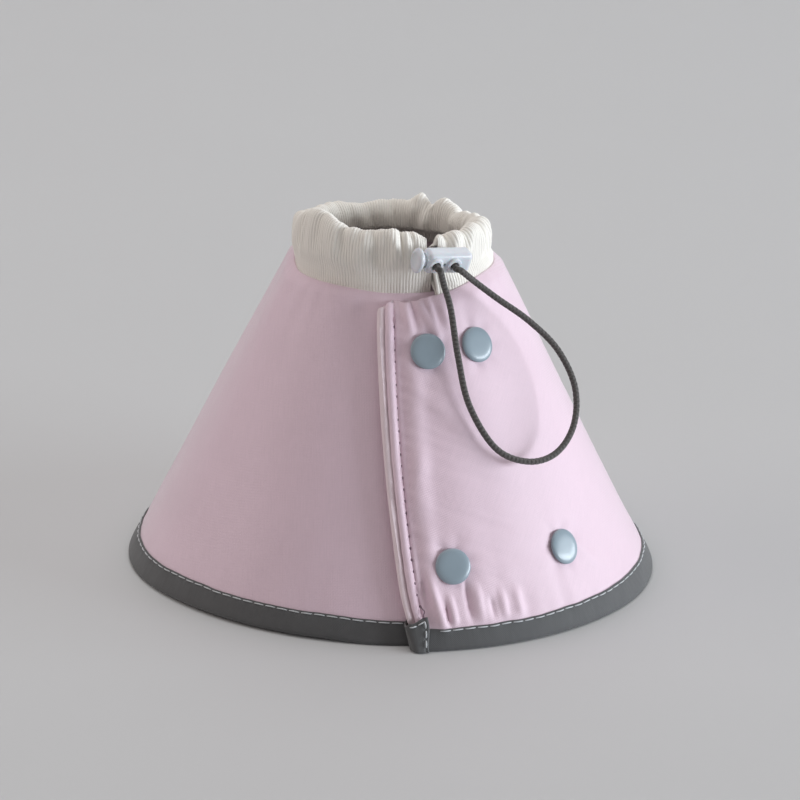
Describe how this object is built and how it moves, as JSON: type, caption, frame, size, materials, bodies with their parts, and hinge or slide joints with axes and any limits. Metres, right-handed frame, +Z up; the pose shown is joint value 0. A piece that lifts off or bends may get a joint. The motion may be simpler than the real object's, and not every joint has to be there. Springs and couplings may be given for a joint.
{
  "type": "elizabethan collar",
  "caption": "Soft cone-shaped recovery collar for a small pet, with a snap-closed overlapping flap, bound edge and gathered neck cuff with a drawcord and cord lock.",
  "frame": {"origin": "middle of the footprint on the ground, under the wide open end of the cone", "axes": "+Z up through the neck opening, -Y towards the front with the snap flap, +X to the right seen from the front"},
  "size_m": [0.1876, 0.1904, 0.1278],
  "materials": {
    "pink_fabric": "smooth pale pink woven polyester with a soft sheen",
    "padding": "thin flexible padding sheet",
    "lining_fabric": "smooth woven lining",
    "grey_binding": "folded grey woven binding tape with pale topstitching",
    "rib_knit": "off-white fine rib knit",
    "elastic_cord": "dark grey braided elastic cord",
    "snap_plastic": "glossy blue-grey moulded plastic",
    "lock_plastic": "satin white moulded plastic",
    "spring_steel": "drawn spring wire"
  },
  "bodies": {
    "cone": {"cone_outer_fabric": "pink_fabric", "cone_stiffener": "padding", "cone_lining": "lining_fabric", "edge_binding": "grey_binding", "neck_cuff": "rib_knit", "drawcord_neck_run": "elastic_cord", "snap_stud_upper_left": "snap_plastic", "snap_stud_upper_right": "snap_plastic", "snap_stud_lower_left": "snap_plastic", "snap_stud_lower_right": "snap_plastic", "snap_inner_cap_upper_left": "snap_plastic", "snap_inner_cap_upper_right": "snap_plastic", "snap_inner_cap_lower_left": "snap_plastic", "snap_inner_cap_lower_right": "snap_plastic"},
    "flap": {"flap_outer_fabric": "pink_fabric", "flap_stiffener": "padding", "flap_lining": "lining_fabric", "flap_binding": "grey_binding", "binding_end_tab": "grey_binding", "neck_cuff_flap_side": "rib_knit", "drawcord_flap_run": "elastic_cord", "drawcord_leg_left": "elastic_cord", "drawcord_leg_right": "elastic_cord", "snap_cap_upper_left": "snap_plastic", "snap_cap_upper_right": "snap_plastic", "snap_cap_lower_left": "snap_plastic", "snap_cap_lower_right": "snap_plastic", "snap_socket_upper_left": "snap_plastic", "snap_socket_upper_right": "snap_plastic", "snap_socket_lower_left": "snap_plastic", "snap_socket_lower_right": "snap_plastic"},
    "cord_lock": {"cord_lock_body": "lock_plastic", "cord_lock_spring": "spring_steel"},
    "plunger": {"cord_lock_plunger": "lock_plastic"},
    "cord_loop": {"drawcord_loop": "elastic_cord"}
  },
  "joints": [
    {"name": "flap_open", "type": "hinge", "parent": "cone", "child": "flap", "pos_m": [0.09301, -0.01533, 0], "axis": [-0.4519, 0.0772, 0.8887], "range_deg": [0, 75]},
    {"name": "lock_slide", "type": "slide", "parent": "flap", "child": "cord_lock", "axis": [0.4149, -0.8431, -0.342], "range_m": [0, 0.007]},
    {"name": "plunger_press", "type": "slide", "parent": "cord_lock", "child": "plunger", "axis": [0.8766, 0.4712, -0.0982], "range_m": [0, 0.0014], "stiffness_N_per_m": 300, "deforming": ["cord_lock_spring"]},
    {"name": "loop_swing", "type": "hinge", "parent": "cord_lock", "child": "cord_loop", "pos_m": [0.0163, -0.0392, 0.11905], "axis": [-0.8766, -0.4712, 0.0982], "range_deg": [0, 100]}
  ]
}
